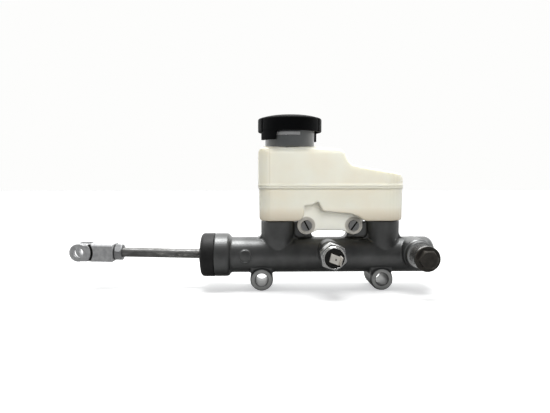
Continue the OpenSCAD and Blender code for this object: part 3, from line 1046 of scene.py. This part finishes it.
@dataclass
class RodEnd:
    """Boot, pushrod, lock nut and clevis."""

    boot_edges: Rounding = Rounding(0.45, 6)
    clevis_edges: Rounding = Rounding(0.32, 4)
    nut_edges: Rounding = Rounding(0.22, 3)

    def build(self) -> None:
        """Builds the boot, nut and clevis, and dresses the rod."""
        boot = self.boot_edges.make("boot", "rod_boot")
        settle(boot, Body.HOUSING, "boot_rubber", RUBBER, "boot")
        clevis = self.clevis_edges.make("clevis", "fork_end")
        settle(clevis, Body.CLEVIS, "zinc_steel", FORK, "clevis")
        nut = self.nut_edges.make("lock_nut", "jam_nut")
        settle(nut, Body.NUT, "zinc_steel", ZINC, "lock_nut")
        dress("pushrod", ROD)


@dataclass
class EndPort:
    """The banjo bolt and its two sealing washers."""

    edges: Rounding = Rounding(0.25, 3)

    def build(self) -> None:
        """Builds the bolt and dresses the washers."""
        bolt = self.edges.make("banjo_bolt", "hollow_bolt")
        settle(bolt, Body.HOUSING, "bolt_steel", DARK_BOLT, "banjo_bolt")
        dress("banjo_washers", BRIGHT)


@dataclass
class PressureSwitch:
    """The brake light switch with its two tabs."""

    edges: Rounding = Rounding(0.28, 3)

    def build(self) -> None:
        """Builds the shell and dresses what it holds."""
        shell = self.edges.make("switch_body", "switch_shell")
        settle(shell, Body.HOUSING, "zinc_steel", BRIGHT, "switch_body")
        dress("switch_washer", BRIGHT)
        dress("switch_insulator", PHENOLIC)
        dress("switch_blades", BLADE)


@dataclass
class Coil:
    """A compression spring about the bore, with closed ends.

    Its outer radius and its ends come from the CAD node's box.
    """

    node: str
    name: str
    wire_mm: float
    turns: float
    body: Body
    steps: int = 28
    sides: int = 12
    closed_turns: float = 0.75
    pitch_ease: float = 0.12

    def build(self) -> Piece:
        """Returns the swept wire, riding on the body at its fixed end."""
        low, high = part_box(self.node)
        wire = self.wire_mm * MM / 2
        radius = (high.z - low.z) / 2 - wire
        count = int(self.turns * self.steps)
        first, last = low.x + wire, high.x - wire
        rings = []
        for i in range(count + 1):
            share = i / count
            turn = share * self.turns
            open_turns = self.turns - 2 * self.closed_turns
            rise = min(max((turn - self.closed_turns) / open_turns, 0), 1)
            eased = rise * rise * (3 - 2 * rise)
            rise = eased * self.pitch_ease + rise * (1 - self.pitch_ease)
            angle = turn * 2 * math.pi
            out = Vector((0, math.cos(angle), math.sin(angle)))
            centre = Vector((first + (last - first) * rise, 0, BORE_Z)) + out * radius
            rings.append(
                [
                    centre
                    + out * (math.cos(a) * wire)
                    + Vector((math.sin(a) * wire, 0, 0))
                    for a in (k * 2 * math.pi / self.sides for k in range(self.sides))
                ]
            )
        work = bmesh.new()
        made = [[work.verts.new(p) for p in ring] for ring in rings]
        for one, two in zip(made, made[1:]):
            for k in range(self.sides):
                nxt = (k + 1) % self.sides
                work.faces.new((one[k], one[nxt], two[nxt], two[k]))
        work.faces.new(made[0])
        work.faces.new(list(reversed(made[-1])))
        bmesh.ops.recalc_face_normals(work, faces=work.faces)
        mesh = bpy.data.meshes.new(self.name)
        work.to_mesh(mesh)
        work.free()
        for face in mesh.polygons:
            face.use_smooth = len(face.vertices) == 4
        piece = bpy.data.objects.new(self.name, mesh)
        bpy.context.scene.collection.objects.link(piece)
        return settle(piece, self.body, "spring_steel", SPRING, self.node)


@dataclass
class Internals:
    """Pistons, seals and springs in the bore."""

    first_travel_mm: float = 15.0
    second_travel_mm: float = 11.0

    def build(self) -> None:
        """Builds both springs and dresses the rest."""
        for coil, joint, travel in (
            (Coil("primary_spring", "first_spring", 2.0, 8.5, Body.SECONDARY), "piston_stroke",
             self.first_travel_mm),
            (Coil("secondary_spring", "second_spring", 1.8, 6.5, Body.HOUSING), "secondary_stroke",
             self.second_travel_mm),
        ):
            piece = coil.build()
            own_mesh(piece)
        for node in ("primary_piston", "secondary_piston"):
            dress(node, PISTON)
        for node in ("primary_cup", "rear_seal", "secondary_cups"):
            dress(node, RUBBER)
        for node in ("circlip", "stop_washer", "stop_pin"):
            dress(node, ZINC)


@dataclass
class Studio:
    """White sweep, overhead softbox and the camera."""

    floor_mm: float = 4000.0
    eye: tuple[float, float, float] = (0.0029, -0.375, 0.0885)
    down_deg: float = 4.42
    right_deg: float = 1.28
    lens: float = 29.19

    def build(self) -> None:
        """Builds the floor, world, lights and camera."""
        self._floor()
        self._world()
        self._lamp("overhead softbox", (0.03, 0.0, 0.8), (0.03, 0.0, 0.0), (0.6, 0.22), 6.5)
        self._lamp("tank fill", (0.16, -0.72, 0.3), (0.06, 0.0, 0.08), (0.5, 0.5), 3.6, TANK_PIECES)
        self._camera()

    def _floor(self) -> None:
        """Lays the pale floor at the lowest point of the object."""
        half = self.floor_mm * MM / 2
        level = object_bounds()[0][2]
        mesh = bpy.data.meshes.new("pale_floor")
        mesh.from_pydata(
            [(x, y, level) for x, y in ((-half, -half), (half, -half), (half, half), (-half, half))],
            [],
            [(0, 1, 2, 3)],
        )
        floor = bpy.data.objects.new("pale_floor", mesh)
        bpy.context.scene.collection.objects.link(floor)
        paper = bpy.data.materials.new("white paper")
        paper.use_nodes = True
        tree = paper.node_tree
        tree.nodes.clear()
        paper_lit = put(tree, "BsdfDiffuse", values={"Color": linear("#d8d8d8")})
        glow = put(tree, "Emission", values={"Color": linear("#fcfdfe"), "Strength": 0.5})
        lit = put(tree, "AddShader", {0: paper_lit.outputs[0], 1: glow.outputs[0]})
        dim = put(tree, "BsdfDiffuse", values={"Color": linear("#949494")})
        seen = put(tree, "LightPath").outputs["Is Camera Ray"]
        both = put(tree, "MixShader", {0: seen, 1: dim.outputs[0], 2: lit.outputs[0]})
        put(tree, "OutputMaterial", {"Surface": both.outputs[0]})
        mesh.materials.append(paper)
        floor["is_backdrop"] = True

    def _world(self) -> None:
        """Makes the surroundings bright behind the object and dim in front of it."""
        world = bpy.data.worlds.new("white sweep")
        bpy.context.scene.world = world
        world.use_nodes = True
        tree = world.node_tree
        tree.nodes.clear()
        way = put(tree, "TexCoord").outputs["Generated"]
        ahead = put(tree, "SeparateXYZ", {"Vector": way}).outputs["Y"]
        power = put(
            tree,
            "MapRange",
            {"Value": ahead},
            {"From Min": -0.3, "From Max": 0.6, "To Min": 0.16, "To Max": 1.7},
        ).outputs[0]
        seen = put(tree, "LightPath").outputs["Is Camera Ray"]
        strength = put(
            tree, "Mix", {"Factor": seen, 2: power}, {3: 1.0}, data_type="FLOAT"
        ).outputs[0]
        back = put(
            tree, "Background", {"Strength": strength}, {"Color": linear("#fdfdfc")}
        ).outputs[0]
        put(tree, "OutputWorld", {"Surface": back})

    def _lamp(
        self,
        name: str,
        spot: tuple[float, float, float],
        aim: tuple[float, float, float],
        size: tuple[float, float],
        watts: float,
        only: tuple[str, ...] = (),
    ) -> None:
        """Hangs a soft rectangular light.

        Args:
            name: the light's name.
            spot: where it hangs, in metres.
            aim: the point it faces.
            size: its two sides in metres.
            watts: its power.
            only: the pieces that it lights, or none for all.
        """
        data = bpy.data.lights.new(name, "AREA")
        data.shape = "RECTANGLE"
        data.size, data.size_y = size
        data.energy = watts
        lamp = bpy.data.objects.new(name, data)
        bpy.context.scene.collection.objects.link(lamp)
        lamp.location = spot
        if only:
            lit = bpy.data.collections.new(name + " lights")
            for piece in only:
                lit.objects.link(bpy.data.objects[piece])
            lamp.light_linking.receiver_collection = lit
        lamp.rotation_euler = (Vector(aim) - Vector(spot)).to_track_quat("-Z", "Y").to_euler()

    def _camera(self) -> None:
        """Sets the camera level with the tank, a little above the bore."""
        data = bpy.data.cameras.new("front view")
        data.sensor_width = 36
        data.lens = self.lens
        data.clip_start = 0.01
        camera = bpy.data.objects.new("front view", data)
        bpy.context.scene.collection.objects.link(camera)
        camera.location = self.eye
        camera.rotation_euler = (
            math.radians(90 - self.down_deg),
            0,
            math.radians(-self.right_deg),
        )
        bpy.context.scene.camera = camera


def main() -> None:
    """Builds the object and its studio."""
    logging.basicConfig(level=logging.INFO, format="%(message)s")
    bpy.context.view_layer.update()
    for assembly in (
        Casting(), Reservoir(), FillerCap(), RodEnd(), EndPort(), PressureSwitch(), Internals(),
    ):
        log.info("-- %s", type(assembly).__name__)
        assembly.build()
    Studio().build()
    bpy.context.scene.view_settings.view_transform = "Standard"


if __name__ == "__main__":
    main()
